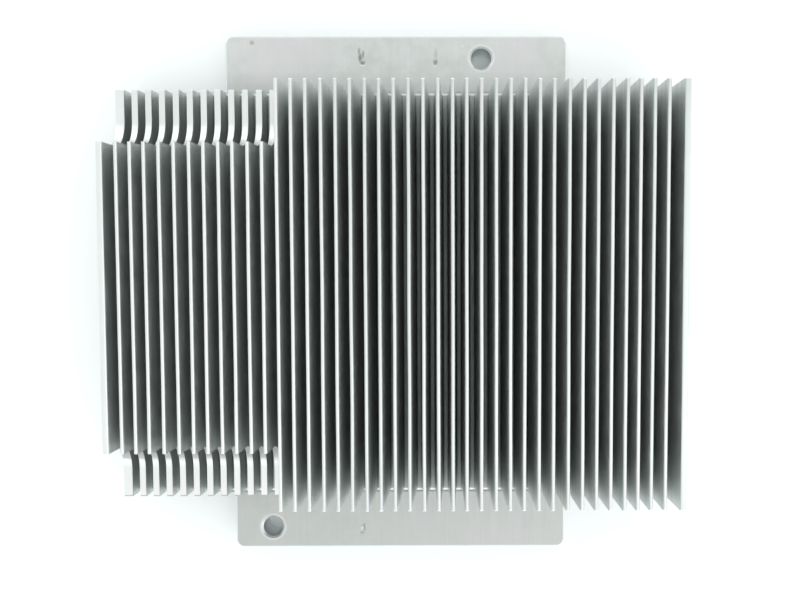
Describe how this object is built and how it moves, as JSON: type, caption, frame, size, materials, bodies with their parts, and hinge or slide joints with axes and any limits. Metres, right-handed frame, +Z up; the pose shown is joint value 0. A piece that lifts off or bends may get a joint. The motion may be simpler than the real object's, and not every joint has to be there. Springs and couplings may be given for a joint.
{
  "type": "passive server cpu heatsink",
  "caption": "Low passive heatsink milled from one aluminium extrusion: tapered straight fins over a thick base, stepped fin ends on one side, flanges with offset guide holes.",
  "frame": {"origin": "middle of the flat underside that presses on the processor", "axes": "+X across the fins, +Y along the fins towards the back flange, +Z up out of the fin tips"},
  "size_m": [0.1226, 0.1156, 0.027],
  "materials": {
    "mill_aluminium": "plain mill finish with die lines along the fins and milled ends"
  },
  "bodies": {
    "root": {"heatsink_body": "mill_aluminium"}
  },
  "joints": []
}
